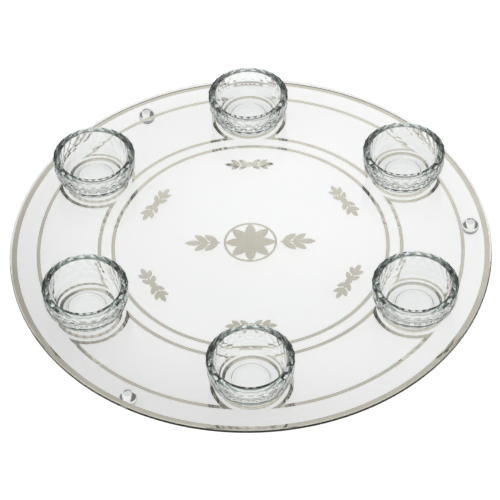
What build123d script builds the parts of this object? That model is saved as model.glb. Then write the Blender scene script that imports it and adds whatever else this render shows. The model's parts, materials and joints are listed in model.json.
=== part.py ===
from build123d import *
import os
from math import cos, radians, sqrt, tan

# Glass seder plate on three ball feet, silvered underneath, with six loose faceted bowls.
# Millimetres and degrees. The origin is on the table, under the middle of the plate, and +Z is up.

# Plate
PLATE_RADIUS = 179.5
PLATE_THICKNESS = 3.0
EDGE_FLAT = 0.2

# Ball feet, bonded under the plate where the maker set them
FOOT_BALL_RADIUS = 6.35
FOOT_SEAT_RISE = 5.6
FOOT_REST_DROP = 5.6
BOND_THICKNESS = 0.2
FOOT_ANGLES = {"right": 6.1, "back_left": 119.3, "front_left": 238.6}

# Silver coat under the glass, from the edge inwards
SILVER_THICKNESS = 0.1
BAND_WIDTH = 4.0
LINE_WIDTH = 2.75
FIELD_MARGIN = 21.35
FIELD_DEPTH = 45.4
FIELD_GAP = 5.5
RING_GAP = 10.15
FIELD_ANGLES = {
    "right": 0.0,
    "back_right": 60.0,
    "back_left": 120.0,
    "left": 180.0,
    "front_left": 240.0,
    "front_right": 300.0,
}

# Leaf ornament of the silver coat
STEM_WIDTH = 1.5
LEAF_TILT = 38.0
ROSETTE_PETALS = 8
ROSETTE_HUB_RADIUS = 4.2
ROSETTE_RING_RADIUS = 20.0
ROSETTE_RING_WIDTH = 1.8
PETAL_WIDTH = 8.2
CENTRE_LEAF_LENGTH = 13.0
CENTRE_LEAF_WIDTH = 5.2
CENTRE_SPRAY_GAP = 2.5
CENTRE_LEAF_STEP = 7.5
CENTRE_LEAF_PAIRS = 2
SIDE_SPRAY_MARGIN = 20.0
SIDE_LEAF_LENGTH = 8.5
SIDE_LEAF_WIDTH = 3.9
SIDE_LEAF_STEP = 6.0
SIDE_LEAF_PAIRS = 2
SIDE_BUD_RADIUS = 2.6

# Loose bowls, named for what they hold, at their angles round the plate
BOWL_ANGLES = {
    "shank_bone": 30.0,
    "bitter_herb": 90.0,
    "egg": 150.0,
    "parsley": 210.0,
    "lettuce": 270.0,
    "charoset": 330.0,
}
BOWL_RIM_RADIUS = 31.0
BOWL_HEIGHT = 25.0
BOWL_WALL = 5.2
BOWL_FLOOR = 4.5
BOWL_INSIDE_DRAFT = 1.5
BOWL_INSIDE_ROUNDING = 16.0
RIM_ROUNDING = 1.1
BASE_EDGE_HEIGHT = 0.6
BASE_EDGE_WIDTH = 3.0
BASE_RECESS_RADIUS = 14.6
BASE_RECESS_DEPTH = 0.6

# How far each bowl was put down from the middle of its ring, to the right and to the back
BOWL_SHIFTS = {
    "shank_bone": (0.3, -0.1),
    "bitter_herb": (-0.3, -1.3),
    "egg": (-0.8, 1.0),
    "parsley": (-1.2, 2.7),
    "lettuce": (-0.6, 0.4),
    "charoset": (0.5, -0.2),
}

# Facets of a bowl: rows from the rim down, each leaning in more than the row above
FACETS_AROUND = 24
FACET_ROW_TILTS = (0.5, 3.0, 13.0, 31.0, 54.0)
FACET_DEPTH = 0.3

# Heights and circles that follow from the sizes above
foot_seat_radius = sqrt(FOOT_BALL_RADIUS**2 - FOOT_SEAT_RISE**2)
foot_seat_height = FOOT_REST_DROP + FOOT_SEAT_RISE
plate_underside = foot_seat_height + BOND_THICKNESS
plate_top = plate_underside + PLATE_THICKNESS
edge_rounding = (PLATE_THICKNESS - EDGE_FLAT) / 2
band_outer_radius = PLATE_RADIUS - edge_rounding
band_inner_radius = band_outer_radius - BAND_WIDTH
field_outer_radius = PLATE_RADIUS - FIELD_MARGIN
field_inner_radius = field_outer_radius - FIELD_DEPTH
inner_ring_radius = field_inner_radius - RING_GAP
bowl_circle_radius = (field_outer_radius + field_inner_radius) / 2
bowl_ring_radius = FIELD_DEPTH / 2
foot_circle_radius = (band_inner_radius + field_outer_radius + LINE_WIDTH / 2) / 2
side_spray_radius = inner_ring_radius - SIDE_SPRAY_MARGIN
first_bowl_angle = min(BOWL_ANGLES.values())
half_line = LINE_WIDTH / 2

# The silver patches are drawn on this plane and rise to the underside of the glass
silver_plane = Plane.XY.offset(plate_underside - SILVER_THICKNESS)

os.makedirs("parts", exist_ok=True)


def save(part, name):
    """Labels a finished piece and writes its STEP file."""
    part.label = name
    export_step(part, f"parts/{name}.step")


def leaf(length, width):
    """Makes the face of a pointed leaf from the origin along +X, between two equal arcs."""
    with BuildSketch() as face:
        with BuildLine():
            SagittaArc((0, 0), (length, 0), width / 2)
            SagittaArc((length, 0), (0, 0), width / 2)
        make_face()
    return face.sketch


def spray(leaf_length, leaf_width, step, pairs):
    """Makes half a leaf spray along +X: a stem, pairs of leaves on it and one leaf at its tip."""
    blade = leaf(leaf_length, leaf_width)
    stem_length = step * pairs
    with BuildSketch() as half:
        with Locations((stem_length / 2, 0)):
            Rectangle(stem_length, STEM_WIDTH)
        for pair in range(pairs):
            foot = (step * pair + STEM_WIDTH, 0, 0)
            with Locations(Location(foot, (0, 0, LEAF_TILT)), Location(foot, (0, 0, -LEAF_TILT))):
                add(blade)
        with Locations((stem_length - STEM_WIDTH, 0)):
            add(blade)
    return half.sketch


# Plate
with BuildPart() as glass_plate:
    with BuildSketch(Plane.XY.offset(plate_underside)):
        Circle(PLATE_RADIUS)
    extrude(amount=PLATE_THICKNESS)
    fillet(glass_plate.edges().filter_by(GeomType.CIRCLE), radius=edge_rounding)
save(glass_plate.part, "glass_plate")

# Rim band and inner ring
with BuildPart() as rim_band:
    with BuildSketch(silver_plane):
        Circle(band_outer_radius)
        Circle(band_inner_radius, mode=Mode.SUBTRACT)
    extrude(amount=SILVER_THICKNESS)
save(rim_band.part, "rim_band")

with BuildPart() as inner_ring:
    with BuildSketch(silver_plane):
        Circle(inner_ring_radius + half_line)
        Circle(inner_ring_radius - half_line, mode=Mode.SUBTRACT)
    extrude(amount=SILVER_THICKNESS)
save(inner_ring.part, "inner_ring")

# Field outlines: a ring cut by a circle round each bowl, of which only an even line is left
with BuildPart() as field_outlines:
    with BuildSketch(silver_plane):
        Circle(field_outer_radius + half_line)
        Circle(field_inner_radius - half_line, mode=Mode.SUBTRACT)
        with PolarLocations(bowl_circle_radius, len(BOWL_ANGLES), first_bowl_angle):
            Circle(bowl_ring_radius + FIELD_GAP - half_line, mode=Mode.SUBTRACT)
        offset(amount=-LINE_WIDTH, kind=Kind.INTERSECTION, mode=Mode.SUBTRACT)
    extrude(amount=SILVER_THICKNESS)
for place, angle in FIELD_ANGLES.items():
    field_middle = Vector(bowl_circle_radius, 0, plate_underside).rotate(Axis.Z, angle)
    with BuildPart() as field_outline:
        add(field_outlines.solids().sort_by_distance(field_middle)[0])
    save(field_outline.part, f"{place}_field_outline")

# Ring under each bowl
for food, angle in BOWL_ANGLES.items():
    with BuildPart() as bowl_ring:
        with BuildSketch(silver_plane):
            with PolarLocations(bowl_circle_radius, 1, angle):
                Circle(bowl_ring_radius + half_line)
                Circle(bowl_ring_radius - half_line, mode=Mode.SUBTRACT)
        extrude(amount=SILVER_THICKNESS)
    save(bowl_ring.part, f"{food}_ring")

# Rosette in the middle of the plate, with a leaf spray on either side
with BuildPart() as centre_rosette:
    with BuildSketch(silver_plane):
        Circle(ROSETTE_RING_RADIUS)
        Circle(ROSETTE_RING_RADIUS - ROSETTE_RING_WIDTH, mode=Mode.SUBTRACT)
        Circle(ROSETTE_HUB_RADIUS)
        with PolarLocations(0, ROSETTE_PETALS):
            add(leaf(ROSETTE_RING_RADIUS - ROSETTE_RING_WIDTH / 2, PETAL_WIDTH))
    extrude(amount=SILVER_THICKNESS)
save(centre_rosette.part, "centre_rosette")

for place, angle in {"right": 0.0, "left": 180.0}.items():
    with BuildPart() as centre_spray:
        with BuildSketch(silver_plane):
            with PolarLocations(ROSETTE_RING_RADIUS + CENTRE_SPRAY_GAP, 1, angle):
                add(spray(CENTRE_LEAF_LENGTH, CENTRE_LEAF_WIDTH, CENTRE_LEAF_STEP, CENTRE_LEAF_PAIRS))
        extrude(amount=SILVER_THICKNESS)
    save(centre_spray.part, f"centre_spray_{place}")

# Small spray in front of each bowl, inside the inner ring
for food, angle in BOWL_ANGLES.items():
    with BuildPart() as side_spray:
        with BuildSketch(silver_plane):
            with PolarLocations(side_spray_radius, 1, angle):
                Circle(SIDE_BUD_RADIUS)
                with Locations(Location((0, 0, 0), (0, 0, 90)), Location((0, 0, 0), (0, 0, -90))):
                    add(spray(SIDE_LEAF_LENGTH, SIDE_LEAF_WIDTH, SIDE_LEAF_STEP, SIDE_LEAF_PAIRS))
        extrude(amount=SILVER_THICKNESS)
    save(side_spray.part, f"{food}_spray")

# Ball feet: a glass ball with a ground seat on top and a small flat to stand on
with BuildPart() as ball_foot:
    Sphere(FOOT_BALL_RADIUS)
    split(bisect_by=Plane.XY.offset(FOOT_SEAT_RISE), keep=Keep.BOTTOM)
    split(bisect_by=Plane.XY.offset(-FOOT_REST_DROP), keep=Keep.TOP)
for place, angle in FOOT_ANGLES.items():
    with BuildPart(Plane.XY.offset(FOOT_REST_DROP)) as foot:
        with PolarLocations(foot_circle_radius, 1, angle):
            add(ball_foot.part)
    save(foot.part, f"{place}_foot")

    with BuildPart() as foot_bond:
        with BuildSketch(Plane.XY.offset(foot_seat_height)):
            with PolarLocations(foot_circle_radius, 1, angle):
                Circle(foot_seat_radius)
        extrude(amount=BOND_THICKNESS)
    save(foot_bond.part, f"{place}_foot_bond")

# Faceted bowl: turned solid, cut to a many-sided taper for each row of facets, then hollowed
row_height = (BOWL_HEIGHT - BASE_EDGE_HEIGHT) / len(FACET_ROW_TILTS)
wall_points = [(BOWL_RIM_RADIUS, BOWL_HEIGHT)]
for tilt in FACET_ROW_TILTS:
    radius, height = wall_points[-1]
    wall_points.append((radius - row_height * tan(radians(tilt)), height - row_height))
base_radius = wall_points[-1][0] - BASE_EDGE_WIDTH

corner_radius_factor = 1 / cos(radians(180 / FACETS_AROUND))
blank_points = [((radius + FACET_DEPTH) * corner_radius_factor, height) for radius, height in wall_points]
inside_top_radius = BOWL_RIM_RADIUS - BOWL_WALL
inside_floor_radius = inside_top_radius - (BOWL_HEIGHT - BOWL_FLOOR) * tan(radians(BOWL_INSIDE_DRAFT))
inside_rounding = min(BOWL_INSIDE_ROUNDING, BOWL_HEIGHT - BOWL_FLOOR - 2 * RIM_ROUNDING)
base_points = [
    (0, BASE_RECESS_DEPTH),
    (BASE_RECESS_RADIUS - BASE_RECESS_DEPTH, BASE_RECESS_DEPTH),
    (BASE_RECESS_RADIUS, 0),
    (base_radius, 0),
]

with BuildPart() as pressed_bowl:
    with BuildSketch(Plane.XZ) as outside:
        with BuildLine():
            Polyline(*base_points, *reversed(blank_points), (0, BOWL_HEIGHT), close=True)
        make_face()
        rim_corner = outside.vertices().sort_by_distance(blank_points[0])[0]
        fillet(rim_corner, radius=RIM_ROUNDING)
    revolve(axis=Axis.Z)

    for row, tilt in enumerate(FACET_ROW_TILTS):
        radius, height = wall_points[row]
        flat_radius = radius + (BOWL_HEIGHT - height) * tan(radians(tilt))
        stagger = 180 / FACETS_AROUND * (row % 2)
        with BuildSketch(Plane.XY.offset(BOWL_HEIGHT)):
            RegularPolygon(flat_radius, FACETS_AROUND, major_radius=False, rotation=stagger)
        extrude(amount=-BOWL_HEIGHT, taper=tilt, mode=Mode.INTERSECT)

    with BuildSketch(Plane.XZ) as hollow:
        with BuildLine():
            Polyline(
                (0, BOWL_FLOOR),
                (inside_floor_radius, BOWL_FLOOR),
                (inside_top_radius, BOWL_HEIGHT),
                (0, BOWL_HEIGHT),
                close=True,
            )
        make_face()
        floor_corner = hollow.vertices().sort_by_distance((inside_floor_radius, BOWL_FLOOR))[0]
        fillet(floor_corner, radius=inside_rounding)
    revolve(axis=Axis.Z, mode=Mode.SUBTRACT)
    rim_circles = pressed_bowl.edges().filter_by(GeomType.CIRCLE).group_by(Axis.Z)[-1]
    fillet(rim_circles.sort_by(SortBy.RADIUS)[0], radius=RIM_ROUNDING)

for food, angle in BOWL_ANGLES.items():
    bowl_middle = Vector(bowl_circle_radius, 0).rotate(Axis.Z, angle) + Vector(*BOWL_SHIFTS[food])
    with BuildPart(Plane.XY.offset(plate_top)) as bowl:
        with Locations(Location(bowl_middle, (0, 0, angle))):
            add(pressed_bowl.part)
    save(bowl.part, f"{food}_bowl")
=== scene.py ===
import json
from math import atan, cos, pi, radians, sin

import bpy
import numpy as np
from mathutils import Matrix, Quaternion, Vector


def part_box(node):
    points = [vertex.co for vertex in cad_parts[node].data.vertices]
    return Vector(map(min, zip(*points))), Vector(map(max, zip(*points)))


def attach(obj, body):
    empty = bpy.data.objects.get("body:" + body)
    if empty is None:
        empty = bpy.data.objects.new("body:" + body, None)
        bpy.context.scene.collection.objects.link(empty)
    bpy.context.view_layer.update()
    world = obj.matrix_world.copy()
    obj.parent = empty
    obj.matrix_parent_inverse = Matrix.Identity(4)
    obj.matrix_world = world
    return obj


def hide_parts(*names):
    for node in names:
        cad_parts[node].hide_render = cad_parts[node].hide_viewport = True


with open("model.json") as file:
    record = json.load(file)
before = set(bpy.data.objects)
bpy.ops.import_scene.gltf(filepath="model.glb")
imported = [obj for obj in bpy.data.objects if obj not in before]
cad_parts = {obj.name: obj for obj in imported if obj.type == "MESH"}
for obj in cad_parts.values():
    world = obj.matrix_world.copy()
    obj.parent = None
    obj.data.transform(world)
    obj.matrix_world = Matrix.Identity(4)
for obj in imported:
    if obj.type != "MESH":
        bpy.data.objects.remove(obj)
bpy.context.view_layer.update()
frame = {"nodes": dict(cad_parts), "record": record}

# Glass seder plate on three ball feet, silvered underneath, with six loose faceted bowls.
# Metres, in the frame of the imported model: origin on the table, +Z up, the camera on the -Y side.

MM = 0.001

# Plate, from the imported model
plate_low, plate_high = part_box("glass_plate")
PLATE_RADIUS = round(plate_high.y, 4)
PLATE_TOP = plate_high.z
PLATE_UNDERSIDE = plate_low.z
EDGE_ROUNDING = 1.4 * MM

# Glass never quite touches what it lies on: this air film keeps the faces apart
AIR_FILM = 0.02 * MM

# A ring this close to a rounded corner keeps a flat face shaded flat
FLAT_MARGIN = 0.05 * MM

# Bowl, as in the solid model, with a crisper rim and slightly dished facets
FOODS = ("shank_bone", "bitter_herb", "egg", "parsley", "lettuce", "charoset")
BOWL_RIM_RADIUS = 31.0 * MM
BOWL_HEIGHT = 25.0 * MM
BOWL_WALL = 5.2 * MM
BOWL_FLOOR = 4.5 * MM
BOWL_DRAFT = radians(1.5)
BOWL_INSIDE_ROUNDING = 16.0 * MM
RIM_ROUNDING = 0.5 * MM
BASE_EDGE_HEIGHT = 0.6 * MM
BASE_EDGE_WIDTH = 3.0 * MM
FACETS_AROUND = 24
FACET_ROW_TILTS = np.radians((0.5, 3.0, 13.0, 31.0, 54.0))
FACET_EDGE_SHARPNESS = 20.0 / MM
FACET_DISH_RADIUS = 40.0 * MM
BASE_RECESS_RADIUS = 14.6 * MM
BASE_RECESS_DEPTH = 0.6 * MM

# Ball feet, as in the solid model
FEET = ("right", "back_left", "front_left")
FOOT_BALL_RADIUS = 6.35 * MM
FOOT_REST_DROP = 5.6 * MM

# Soda-lime glass: its index, the waves of a pressed face and the wipe marks on the flat plate
GLASS_INDEX = 1.52
PRESSED_WAVE = 0.03 * MM
WAVES_PER_METRE = (120, 120, 120)
WAVE_DETAIL = 1.0
WIPES_PER_METRE = (14, 70, 14)
WIPE_DETAIL = 3.0
WIPE_ROUGHNESS = ((0.50, 0.0), (0.75, 0.01))

# Tint of the glass: the colour that it keeps, and how fast that deepens with the way through it
PLATE_TINT = ((0.60, 0.88, 0.76), 9)
BOWL_TINT = ((0.62, 0.84, 0.70), 8)
FOOT_TINT = ((0.60, 0.86, 0.80), 6)

# Silver mirror coat, by patches
SILVER_PATCHES_PER_METRE = (60, 60, 60)
SILVER_PATCH_DETAIL = 2.0
SILVER_TONES = ((0.35, (0.93, 0.87, 0.755)), (0.65, (0.98, 0.925, 0.81)))
SILVER_ROUGHNESS = ((0.35, 0.08), (0.65, 0.05))

# Fineness of the surfaces
PLATE_SEGMENTS = 720
PLATE_EDGE_STEPS = 10
FACET_SEGMENTS = 16
BASE_EDGE_STEPS = 5
BOWL_WALL_STEPS = 70
BOWL_RIM_STEPS = 14
BOWL_INSIDE_STEPS = 28
FOOT_SEGMENTS = 96
FOOT_SIDE_STEPS = 40
FLOOR_SEGMENTS = 128

# The photograph's camera, fitted to the ellipses of the rim and the silver rings
SENSOR_WIDTH_MM = 36.0
PHOTO_WIDTH_PX = 500
FOCAL_PX = 2011.5
CENTRE_ABOVE_MIDDLE_PX = 7.97
CENTRE_RIGHT_OF_MIDDLE_PX = 0.43
CAMERA_DISTANCE = 1.5018
CAMERA_ELEVATION = radians(46.70)
CAMERA_AZIMUTH = radians(0.73)
CAMERA_ROLL = radians(-1.59)
SEEN_SILVER_DEPTH = 1.61 * MM


# Surfaces


def arc(centre_r, centre_z, radius, start, end, steps):
    """Points (r, z) on a circle from one angle to another, in degrees."""
    angle = np.radians(np.linspace(start, end, steps))
    return np.stack([centre_r + radius * np.cos(angle), centre_z + radius * np.sin(angle)], axis=-1)


def spun(profile, segments):
    """Carries a profile of (r, z) points round the Z axis: x = r cos t, y = r sin t."""
    turn = np.linspace(0, 2 * pi, segments, endpoint=False)
    radius, height = profile[:, 0, None], profile[:, 1, None]
    return np.stack([radius * np.cos(turn), radius * np.sin(turn), height + 0 * turn], axis=-1)


def closed_surface(name, rings, place):
    """Skins rings of points, first to last, with quads, and closes each end with a fan to its middle."""
    rows, around = rings.shape[:2]
    here = np.arange(rows * around).reshape(rows, around)
    ahead = np.roll(here, -1, axis=1)
    quads = np.stack([here[:-1], ahead[:-1], ahead[1:], here[1:]], axis=-1).reshape(-1, 4)
    first, last = rows * around, rows * around + 1
    low_fan = np.stack([np.full(around, first), ahead[0], here[0]], axis=-1)
    high_fan = np.stack([np.full(around, last), here[-1], ahead[-1]], axis=-1)
    middles = np.stack([rings[0].mean(axis=0), rings[-1].mean(axis=0)])
    points = np.concatenate([rings.reshape(-1, 3), middles]) + np.asarray(place)
    mesh = bpy.data.meshes.new(name)
    mesh.from_pydata(points.tolist(), [], quads.tolist() + low_fan.tolist() + high_fan.tolist())
    mesh.polygons.foreach_set("use_smooth", np.ones(len(mesh.polygons), bool))
    mesh.update()
    piece = bpy.data.objects.new(name, mesh)
    bpy.context.scene.collection.objects.link(piece)
    return piece


def plate_rings():
    """The plate's section spun round: flat underside, rounded edge with a short upright middle, flat top."""
    underside = PLATE_UNDERSIDE + AIR_FILM
    corner = PLATE_RADIUS - EDGE_ROUNDING
    profile = np.concatenate([
        [(corner - FLAT_MARGIN, underside)],
        arc(corner, underside + EDGE_ROUNDING, EDGE_ROUNDING, -90, 0, PLATE_EDGE_STEPS),
        arc(corner, PLATE_TOP - EDGE_ROUNDING, EDGE_ROUNDING, 0, 90, PLATE_EDGE_STEPS),
        [(corner - FLAT_MARGIN, PLATE_TOP)],
    ])
    return spun(profile, PLATE_SEGMENTS)


def foot_rings(height):
    """A ball's section between its ground flats, spun round: resting flat, round side, seat flat."""
    low = -np.degrees(np.arcsin(FOOT_REST_DROP / FOOT_BALL_RADIUS))
    high = np.degrees(np.arcsin((height - FOOT_REST_DROP - AIR_FILM) / FOOT_BALL_RADIUS))
    side = arc(0, FOOT_REST_DROP, FOOT_BALL_RADIUS, low, high, FOOT_SIDE_STEPS)
    inward = np.array([(FLAT_MARGIN, 0)])
    return spun(np.concatenate([side[:1] - inward, side, side[-1:] - inward]), FOOT_SEGMENTS)


def facet_wall():
    """Radius and height where the rows of facets meet, from the rim down: each row leans in by its tilt."""
    row_height = (BOWL_HEIGHT - BASE_EDGE_HEIGHT) / len(FACET_ROW_TILTS)
    steps = np.arange(len(FACET_ROW_TILTS) + 1)
    lean = np.concatenate([[0], np.cumsum(np.tan(FACET_ROW_TILTS))])
    return BOWL_RIM_RADIUS - row_height * lean, BOWL_HEIGHT - row_height * steps


def bowl_rings():
    """The bowl's surface from the middle of its base, up the facets, over the rim and down the inside.

    Each facet is a plane: at height z and angle t it lies at (r + (z - h) tan tilt) / cos(t - middle).
    A shallow dish is added to it, which rises with the square of the distance from the facet's middle.
    The wall is the least of all those facets, rounded where two meet.
    """
    radius, height = facet_wall()
    base_radius = radius[-1] - BASE_EDGE_WIDTH
    segments = FACETS_AROUND * FACET_SEGMENTS
    turn = np.linspace(0, 2 * pi, segments, endpoint=False)
    pitch = 2 * pi / FACETS_AROUND

    outer_top = arc(0, BOWL_HEIGHT - RIM_ROUNDING, RIM_ROUNDING, 0, 90, BOWL_RIM_STEPS)[:, 1]
    wall_z = np.concatenate([
        np.linspace(0, BASE_EDGE_HEIGHT, BASE_EDGE_STEPS),
        np.linspace(BASE_EDGE_HEIGHT, BOWL_HEIGHT - RIM_ROUNDING, BOWL_WALL_STEPS)[1:],
        outer_top[1:],
    ])[:, None]
    planes = []
    for row, tilt in enumerate(FACET_ROW_TILTS):
        stagger = pitch / 2 * (row % 2)
        flat = radius[row] + (wall_z - height[row]) * np.tan(tilt)
        nearest = stagger + pitch * np.round((turn - stagger) / pitch)
        along = (wall_z - (height[row] + height[row + 1]) / 2) / np.cos(tilt)
        for beside in (-pitch, 0, pitch):
            across = flat * np.tan(turn - nearest - beside)
            dish = (across**2 + along**2 - (flat * pitch / 2) ** 2) / (2 * FACET_DISH_RADIUS)
            planes.append(flat / np.cos(turn - nearest - beside) + dish)
    bevel = base_radius + BASE_EDGE_WIDTH * wall_z / BASE_EDGE_HEIGHT
    stack = np.stack(planes + [bevel + 0 * turn])
    least = stack.min(axis=0)
    nearness = np.exp(-FACET_EDGE_SHARPNESS * (stack - least)).sum(axis=0)
    wall_r = least - np.log(nearness) / FACET_EDGE_SHARPNESS
    into_rim = np.maximum(wall_z - BOWL_HEIGHT + RIM_ROUNDING, 0)
    wall_r -= RIM_ROUNDING - np.sqrt(np.maximum(RIM_ROUNDING**2 - into_rim**2, 0))
    wall = np.stack([wall_r * np.cos(turn), wall_r * np.sin(turn), wall_z + 0 * turn], axis=-1)

    inside_top = BOWL_RIM_RADIUS - BOWL_WALL
    inside_floor = inside_top - (BOWL_HEIGHT - BOWL_FLOOR) * np.tan(BOWL_DRAFT)
    rounding = BOWL_INSIDE_ROUNDING
    hollow = np.concatenate([
        arc(inside_top + RIM_ROUNDING, BOWL_HEIGHT - RIM_ROUNDING, RIM_ROUNDING, 90, 180, BOWL_RIM_STEPS),
        arc(inside_floor - rounding, BOWL_FLOOR + rounding, rounding, 0, -90, BOWL_INSIDE_STEPS),
        [(inside_floor - rounding - FLAT_MARGIN, BOWL_FLOOR)],
    ])
    recess = BASE_RECESS_RADIUS - BASE_RECESS_DEPTH
    base = np.array([
        (recess - FLAT_MARGIN, BASE_RECESS_DEPTH),
        (recess, BASE_RECESS_DEPTH),
        (BASE_RECESS_RADIUS, 0),
        (BASE_RECESS_RADIUS + FLAT_MARGIN, 0),
        (base_radius - FLAT_MARGIN, 0),
    ])
    return np.concatenate([spun(base, segments), wall, spun(hollow, segments)])


# Materials


def math_node(tree, operation, first, second):
    """A Math node: each input is a socket to link or a number."""
    node = tree.nodes.new("ShaderNodeMath")
    node.operation = operation
    for socket, given in zip(node.inputs, (first, second)):
        if isinstance(given, (int, float)):
            socket.default_value = given
        else:
            tree.links.new(given, socket)
    return node.outputs[0]


def vector_node(tree, operation, first, second=None):
    """A Vector Math node on a linked vector and, where it takes one, a fixed second vector."""
    node = tree.nodes.new("ShaderNodeVectorMath")
    node.operation = operation
    tree.links.new(first, node.inputs[0])
    if second:
        node.inputs[1].default_value = second
    return node.outputs["Value" if operation in ("DOT_PRODUCT", "DISTANCE") else "Vector"]


def ramp_node(tree, value, stops):
    """A smooth ramp through (position, colour) stops, where a single number is a grey."""
    node = tree.nodes.new("ShaderNodeValToRGB")
    node.color_ramp.interpolation = "EASE"
    for _ in stops[2:]:
        node.color_ramp.elements.new(0.5)
    for element, (position, colour) in zip(node.color_ramp.elements, stops):
        element.position = position
        element.color = (*np.broadcast_to(colour, 3), 1)
    tree.links.new(value, node.inputs[0])
    return node.outputs[0]


def noise_node(tree, stretch, detail):
    """Soft noise over the object: stretch is how many patches there are in a metre along each axis."""
    node = tree.nodes.new("ShaderNodeTexNoise")
    node.inputs["Scale"].default_value = 1.0
    node.inputs["Detail"].default_value = detail
    where = tree.nodes.new("ShaderNodeTexCoord").outputs["Object"]
    tree.links.new(vector_node(tree, "MULTIPLY", where, stretch), node.inputs["Vector"])
    return node.outputs["Fac"]


def new_material(name):
    """An empty node material: returns it with its node tree and its Principled shader."""
    material = bpy.data.materials.new(name)
    material.use_nodes = True
    tree = material.node_tree
    return material, tree, tree.nodes["Principled BSDF"]


def clear_glass(name, tint, waviness=0.0, bonds=()):
    """Clear glass: a smooth surface that refracts, and a tint that deepens with the way through it.

    Pressed glass is a little wavy, and flat glass keeps faint wipe marks. Light goes straight through a face
    that is bonded to other glass: within a bond's radius of its middle the index falls to 1.
    """
    material, tree, shader = new_material(name)
    shader.inputs["Base Color"].default_value = (1, 1, 1, 1)
    shader.inputs["Roughness"].default_value = 0.0
    shader.inputs["IOR"].default_value = GLASS_INDEX
    shader.inputs["Transmission Weight"].default_value = 1.0
    if waviness:
        wave = tree.nodes.new("ShaderNodeBump")
        wave.inputs["Distance"].default_value = waviness
        tree.links.new(noise_node(tree, WAVES_PER_METRE, WAVE_DETAIL), wave.inputs["Height"])
        tree.links.new(wave.outputs["Normal"], shader.inputs["Normal"])
    else:
        wiped = noise_node(tree, WIPES_PER_METRE, WIPE_DETAIL)
        tree.links.new(ramp_node(tree, wiped, WIPE_ROUGHNESS), shader.inputs["Roughness"])
    kept_colour, density = tint
    depth = tree.nodes.new("ShaderNodeVolumeAbsorption")
    depth.inputs["Color"].default_value = (*kept_colour, 1)
    depth.inputs["Density"].default_value = density
    tree.links.new(depth.outputs["Volume"], tree.nodes["Material Output"].inputs["Volume"])
    if bonds:
        where = tree.nodes.new("ShaderNodeTexCoord").outputs["Object"]
        bonded = 0
        for middle, radius in bonds:
            near = math_node(tree, "LESS_THAN", vector_node(tree, "DISTANCE", where, middle), radius)
            bonded = math_node(tree, "MAXIMUM", near, bonded)
        index_drop = math_node(tree, "MULTIPLY", bonded, 1 - GLASS_INDEX)
        tree.links.new(math_node(tree, "ADD", index_drop, GLASS_INDEX), shader.inputs["IOR"])
    return material


def silver_mirror():
    """Warm silver mirror coat, a little uneven in tone and gloss from place to place."""
    material, tree, shader = new_material("silver_mirror")
    patches = noise_node(tree, SILVER_PATCHES_PER_METRE, SILVER_PATCH_DETAIL)
    tree.links.new(ramp_node(tree, patches, SILVER_TONES), shader.inputs["Base Color"])
    tree.links.new(ramp_node(tree, patches, SILVER_ROUGHNESS), shader.inputs["Roughness"])
    shader.inputs["Metallic"].default_value = 1.0
    return material


def clear_adhesive():
    """Cured clear adhesive: it has the index of the glass on both its sides, so it doesn't bend light."""
    material, _, shader = new_material("clear_adhesive")
    shader.inputs["Roughness"].default_value = 0.0
    shader.inputs["IOR"].default_value = 1.0
    shader.inputs["Transmission Weight"].default_value = 1.0
    return material


def foot_bonds():
    """The middle and the radius of each film of adhesive between a foot and the plate."""
    boxes = [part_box(f"{place}_foot_bond") for place in FEET]
    return [(tuple((low + high) / 2), (high.x - low.x) / 2) for low, high in boxes]


plate_glass = clear_glass("plate_glass", PLATE_TINT, bonds=foot_bonds())
bowl_glass = clear_glass("bowl_glass", BOWL_TINT, PRESSED_WAVE)
foot_glass = clear_glass("foot_glass", FOOT_TINT, PRESSED_WAVE / 2, foot_bonds())
silver = silver_mirror()
adhesive = clear_adhesive()

# Pieces

plate = closed_surface("clear_plate", plate_rings(), (0, 0, 0))
plate.data.materials.append(plate_glass)
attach(plate, "plate")
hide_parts("glass_plate")

for place in FEET:
    low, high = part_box(f"{place}_foot")
    middle = (low + high) / 2
    foot = closed_surface(f"{place}_foot_ball", foot_rings(high.z - low.z), (middle.x, middle.y, low.z))
    foot.data.materials.append(foot_glass)
    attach(foot, "plate")
    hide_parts(f"{place}_foot")

rings = bowl_rings()
for food in FOODS:
    low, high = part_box(f"{food}_bowl")
    middle = (low + high) / 2
    bowl = closed_surface(f"{food}_bowl_glass", rings, (middle.x, middle.y, low.z + AIR_FILM))
    bowl.data.materials.append(bowl_glass)
    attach(bowl, f"{food}_bowl")
    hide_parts(f"{food}_bowl")

for subpart in frame["record"]["subparts"]:
    node = frame["nodes"][subpart["node"]]
    if subpart["material_slot"] == "silver_mirror":
        node.material_slots[0].material = silver
    if subpart["material_slot"] == "clear_adhesive":
        node.material_slots[0].material = adhesive

# Floor, light and camera

FLOOR_RADIUS = 1.5
FLOOR_THICKNESS = 1 * MM
FLOOR_COLOUR = 0.8
FLOOR_GLOW = 0.78

# The floor's glow through the glass, a painted pool of light, against the distance from a bright spot, and
# the share of it kept, a painted shade, for rays that bounce off a foot. Then, for rays through more glass
# than the plate, against the distance from the nearest foot: how dark the floor is, a painted shade ring,
# and the share of them that passes it to the white sheet.
FLOOR_PAINTED_LIGHT_SPOT = (0.045, 0.07, 0)
FLOOR_PAINTED_LIGHT_UNDER_GLASS = ((0.03, 0.76), (0.16, 0.695), (0.28, 0.495))
FLOOR_KEPT_BY_PAINTED_SHADE_BESIDE_FEET = 0.2
FOOT_SHADE = ((0.0075, 0.0), (0.0095, 1.0), (0.016, 1.0), (0.022, 0.0))
PASSED_BY_FOOT_AWAY = ((0.010, 1.0), (0.022, 0.55))

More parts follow.
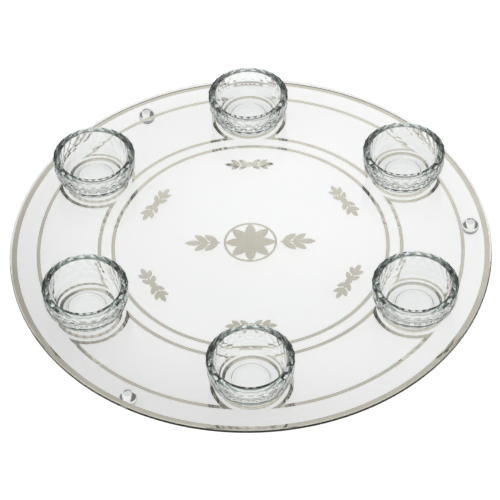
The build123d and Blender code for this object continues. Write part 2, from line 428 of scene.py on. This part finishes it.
# The room's light against the sine of the height angle, then the white sweep's behind the plate and the
# soft front light's, each against the sine of the height angle and the cosine of the angle off its middle
ROOM_BY_HEIGHT = ((0.0, 0.03), (0.40, 0.04), (0.62, 0.10), (0.80, 0.15), (1.0, 0.35))
SWEEP_BY_HEIGHT = ((0.30, 0.05), (0.50, 0.61), (0.62, 0.61), (0.69, 0.56), (0.777, 0.36), (0.90, 0.0))
SWEEP_BY_TURN = ((0.84, 0.0), (0.92, 0.2), (0.975, 0.95), (1.0, 1.0))
SWEEP_AZIMUTH = radians(8)
FRONT_BY_HEIGHT = ((0.50, 0.0), (0.62, 0.8), (0.84, 0.8), (0.92, 0.0))
FRONT_BY_TURN = ((0.70, 0.0), (0.88, 1.0))
FRONT_AZIMUTH = radians(180)

# The soft fill on the near side of the room and the pale ceiling: each against the sine of the height angle,
# and against the turn, which goes from 0 on the near side to 1 behind the plate
FILL_BY_HEIGHT = ((0.0, 0.35), (0.32, 0.35), (0.50, 0.0))
FILL_BY_TURN = ((0.0, 1.0), (0.42, 1.0), (0.55, 0.0))
CEILING_BY_HEIGHT = ((0.30, 0.0), (0.45, 0.25), (0.85, 0.25), (1.0, 0.05))
CEILING_BY_TURN = ((0.80, 1.0), (0.92, 0.0))

# The white sheet under the plate, as thick glass shows it: its colour against half of how far a ray leans
# sideways for its drop. Beyond it are dim flanks, seen by rays that go back and steeply down.
PLATE_FACES = 2
SHEET_GLOW = 0.90
SHEET_MIDDLE_LEAN = 0.1
LEAST_DROP = 0.02
SHEET_BY_HALF_LEAN = (
    (0.21, 1.0),
    (0.29, (0.14, 0.105, 0.085)),
    (0.48, (0.09, 0.065, 0.05)),
    (0.70, (0.06, 0.05, 0.045)),
    (0.95, 0.80),
)
FLANK_BY_TURN = ((0.05, 0.0), (0.15, 1.0))
FLANK_BY_DROP = ((0.42, 0.0), (0.54, 1.0))

# Light paths: with more bounces of gloss the rims of the bowls would be too pale
MOST_BOUNCES = 12
GLOSS_BOUNCES = 4


def studio_floor():
    """A round white floor under the feet, which glows a little to the eye so that it reads as white.

    Through the glass it glows less away from a spot at the far right, a painted pool of light where the
    light falls, and rays that bounce off a foot find it darker, a painted shade. Rays that have gone through
    more glass than the plate pass it, all of them under the feet and about half elsewhere, to the white
    sheet that the plate stands over, and find the floor dark in a ring round each foot, a painted shade.
    """
    ring = np.array([(FLOOR_RADIUS, -FLOOR_THICKNESS), (FLOOR_RADIUS, 0)])
    floor = closed_surface("studio_floor", spun(ring, FLOOR_SEGMENTS), (0, 0, 0))
    material, tree, shader = new_material("studio_floor")
    shader.inputs["Base Color"].default_value = (FLOOR_COLOUR, FLOOR_COLOUR, FLOOR_COLOUR, 1)
    shader.inputs["Roughness"].default_value = 1.0
    shader.inputs["Specular IOR Level"].default_value = 0.0
    shader.inputs["Emission Color"].default_value = (1, 1, 1, 1)
    where = tree.nodes.new("ShaderNodeTexCoord").outputs["Object"]
    # Painted pool of light: through the glass the floor glows less away from a bright spot
    away = vector_node(tree, "DISTANCE", where, FLOOR_PAINTED_LIGHT_SPOT)
    painted_light_under_glass = ramp_node(tree, away, FLOOR_PAINTED_LIGHT_UNDER_GLASS)
    path = tree.nodes.new("ShaderNodeLightPath").outputs
    mirrored = math_node(tree, "MAXIMUM", path["Is Glossy Ray"], path["Is Transmission Ray"])
    direct = math_node(tree, "MULTIPLY", path["Is Camera Ray"], FLOOR_GLOW)
    under_plate = math_node(tree, "GREATER_THAN", path["Transmission Depth"], PLATE_FACES - 0.5)
    # Painted shade: rays that bounce off a foot under the plate find the floor's glow cut down
    bounced = math_node(tree, "SUBTRACT", path["Is Glossy Ray"], path["Is Transmission Ray"])
    painted_shade_beside_feet = math_node(tree, "MULTIPLY", math_node(tree, "MAXIMUM", bounced, 0.0), under_plate)
    lost = math_node(tree, "MULTIPLY", painted_shade_beside_feet, 1 - FLOOR_KEPT_BY_PAINTED_SHADE_BESIDE_FEET)
    shaded = math_node(tree, "SUBTRACT", 1.0, lost)
    deep = math_node(tree, "GREATER_THAN", path["Transmission Depth"], PLATE_FACES + 0.5)
    foot_away = 1.0
    for low, high in (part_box(f"{place}_foot") for place in FEET):
        apart = vector_node(tree, "DISTANCE", where, ((low.x + high.x) / 2, (low.y + high.y) / 2, 0))
        foot_away = math_node(tree, "MINIMUM", apart, foot_away)
    # Painted shade: a dark ring on the floor round each foot, for rays through more glass than the plate
    foot_shade = math_node(tree, "MULTIPLY", ramp_node(tree, foot_away, FOOT_SHADE), deep)
    shaded = math_node(tree, "MULTIPLY", shaded, math_node(tree, "SUBTRACT", 1.0, foot_shade))
    painted_light_under_glass = math_node(tree, "MAXIMUM", painted_light_under_glass, math_node(tree, "MULTIPLY", deep, FLOOR_GLOW))
    through = math_node(tree, "MULTIPLY", math_node(tree, "MULTIPLY", mirrored, painted_light_under_glass), shaded)
    tree.links.new(math_node(tree, "MAXIMUM", direct, through), shader.inputs["Emission Strength"])
    passed = math_node(tree, "MULTIPLY", mirrored, math_node(tree, "SUBTRACT", deep, foot_shade))
    passed = math_node(tree, "MULTIPLY", passed, ramp_node(tree, foot_away, PASSED_BY_FOOT_AWAY))
    clear = tree.nodes.new("ShaderNodeBsdfTransparent")
    either = tree.nodes.new("ShaderNodeMixShader")
    tree.links.new(passed, either.inputs[0])
    tree.links.new(shader.outputs[0], either.inputs[1])
    tree.links.new(clear.outputs[0], either.inputs[2])
    tree.links.new(either.outputs[0], tree.nodes["Material Output"].inputs["Surface"])
    floor.data.materials.append(material)


def studio_world():
    """A dim room with a white sweep behind the plate, a soft front light, a fill and a pale ceiling.

    The sweep fades out at its top and sides. Below the horizon is the white sheet with its dim flanks, and
    whatever the eye sees directly is white.
    """
    world = bpy.data.worlds.new("studio")
    bpy.context.scene.world = world
    world.use_nodes = True
    tree = world.node_tree
    where = tree.nodes.new("ShaderNodeTexCoord").outputs["Generated"]
    split = tree.nodes.new("ShaderNodeSeparateXYZ")
    tree.links.new(where, split.inputs[0])
    upward = split.outputs["Z"]
    level = vector_node(tree, "NORMALIZE", vector_node(tree, "MULTIPLY", where, (1, 1, 0)))

    def towards(azimuth):
        """The cosine of the level angle between a ray and an azimuth."""
        return vector_node(tree, "DOT_PRODUCT", level, (sin(azimuth), cos(azimuth), 0))

    def product(first, first_stops, second, second_stops):
        """One ramp times another."""
        first_ramp = ramp_node(tree, first, first_stops)
        return math_node(tree, "MULTIPLY", first_ramp, ramp_node(tree, second, second_stops))

    ahead = towards(0)
    turned = math_node(tree, "MULTIPLY", math_node(tree, "ADD", ahead, 1.0), 0.5)
    sweep = product(upward, SWEEP_BY_HEIGHT, towards(SWEEP_AZIMUTH), SWEEP_BY_TURN)
    front = product(upward, FRONT_BY_HEIGHT, towards(FRONT_AZIMUTH), FRONT_BY_TURN)
    fill = product(upward, FILL_BY_HEIGHT, turned, FILL_BY_TURN)
    ceiling = product(upward, CEILING_BY_HEIGHT, turned, CEILING_BY_TURN)
    soft = math_node(tree, "MAXIMUM", fill, ceiling)
    screens = math_node(tree, "ADD", math_node(tree, "ADD", sweep, front), soft)
    room = math_node(tree, "ADD", ramp_node(tree, upward, ROOM_BY_HEIGHT), screens)
    below = math_node(tree, "LESS_THAN", upward, 0.0)
    light = math_node(tree, "MAXIMUM", room, math_node(tree, "MULTIPLY", below, SHEET_GLOW))
    seen_directly = tree.nodes.new("ShaderNodeLightPath").outputs["Is Camera Ray"]
    light = math_node(tree, "MAXIMUM", light, seen_directly)

    drop = math_node(tree, "MAXIMUM", math_node(tree, "MULTIPLY", upward, -1.0), LEAST_DROP)
    sideways = math_node(tree, "DIVIDE", split.outputs["X"], drop)
    lean = math_node(tree, "SUBTRACT", sideways, SHEET_MIDDLE_LEAN)
    flank = product(ahead, FLANK_BY_TURN, drop, FLANK_BY_DROP)
    flank = math_node(tree, "MULTIPLY", flank, math_node(tree, "SUBTRACT", 1.0, seen_directly))
    lean = math_node(tree, "MULTIPLY", math_node(tree, "ABSOLUTE", lean, 0.0), flank)
    seen = ramp_node(tree, math_node(tree, "MULTIPLY", lean, 0.5), SHEET_BY_HALF_LEAN)
    background = tree.nodes["Background"]
    tree.links.new(seen, background.inputs["Color"])
    tree.links.new(light, background.inputs["Strength"])


def photo_camera():
    """The photograph's camera: it looks at the middle of the silver, then tips to the picture's middle."""
    camera = bpy.data.cameras.new("photo_camera")
    camera.sensor_width = SENSOR_WIDTH_MM
    camera.lens = FOCAL_PX / PHOTO_WIDTH_PX * camera.sensor_width
    thing = bpy.data.objects.new("photo_camera", camera)
    back = Vector((
        sin(CAMERA_AZIMUTH) * cos(CAMERA_ELEVATION),
        -cos(CAMERA_AZIMUTH) * cos(CAMERA_ELEVATION),
        sin(CAMERA_ELEVATION),
    ))
    thing.location = Vector((0, 0, PLATE_TOP - SEEN_SILVER_DEPTH)) + back * CAMERA_DISTANCE
    thing.rotation_mode = "QUATERNION"
    level = (-back).to_track_quat("-Z", "Y")
    roll = Quaternion((0, 0, 1), CAMERA_ROLL)
    tip = Quaternion((1, 0, 0), -atan(CENTRE_ABOVE_MIDDLE_PX / FOCAL_PX))
    turn = Quaternion((0, 1, 0), atan(CENTRE_RIGHT_OF_MIDDLE_PX / FOCAL_PX))
    thing.rotation_quaternion = level @ roll @ tip @ turn
    bpy.context.scene.collection.objects.link(thing)
    bpy.context.scene.camera = thing


studio_floor()
studio_world()
photo_camera()
bpy.context.scene.view_settings.view_transform = "Standard"
bpy.context.scene.cycles.max_bounces = MOST_BOUNCES
bpy.context.scene.cycles.glossy_bounces = GLOSS_BOUNCES
bpy.context.scene.cycles.transmission_bounces = MOST_BOUNCES
